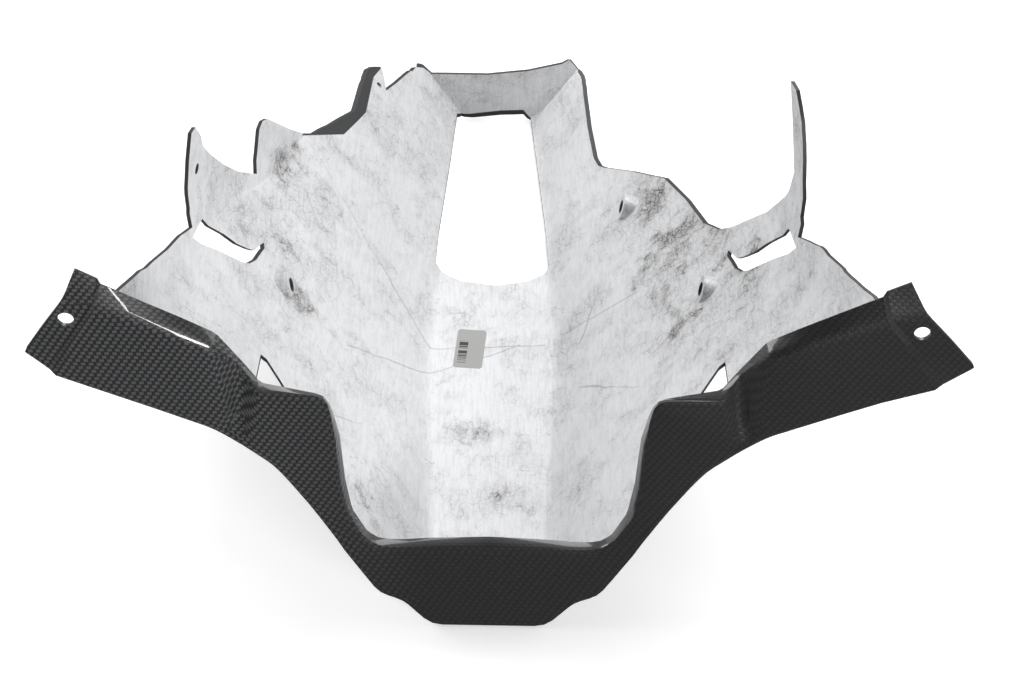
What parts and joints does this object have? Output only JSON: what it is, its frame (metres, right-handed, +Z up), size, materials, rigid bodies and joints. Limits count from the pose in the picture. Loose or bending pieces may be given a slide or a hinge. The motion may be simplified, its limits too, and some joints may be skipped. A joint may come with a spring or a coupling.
{
  "type": "motorcycle belly pan",
  "caption": "One-piece moulded belly pan: open V trough with flat keel, flared wings with bolted tabs, folded front face, trimmed ears, floor window and rear panel.",
  "frame": {"origin": "under the middle of the pan, on the surface that its flat keel rests on", "axes": "+Z up, square to the flat keel, -Y towards the front face with the two wing tabs, +X to the right in the picture"},
  "size_m": [0.4608, 0.4778, 0.227],
  "materials": {
    "carbon_laminate": "glossy clear-coated twill weave outside, crumpled silver heat film inside",
    "paper_label": "matt sticker"
  },
  "bodies": {
    "root": {"pan_shell": "carbon_laminate"}
  },
  "joints": []
}
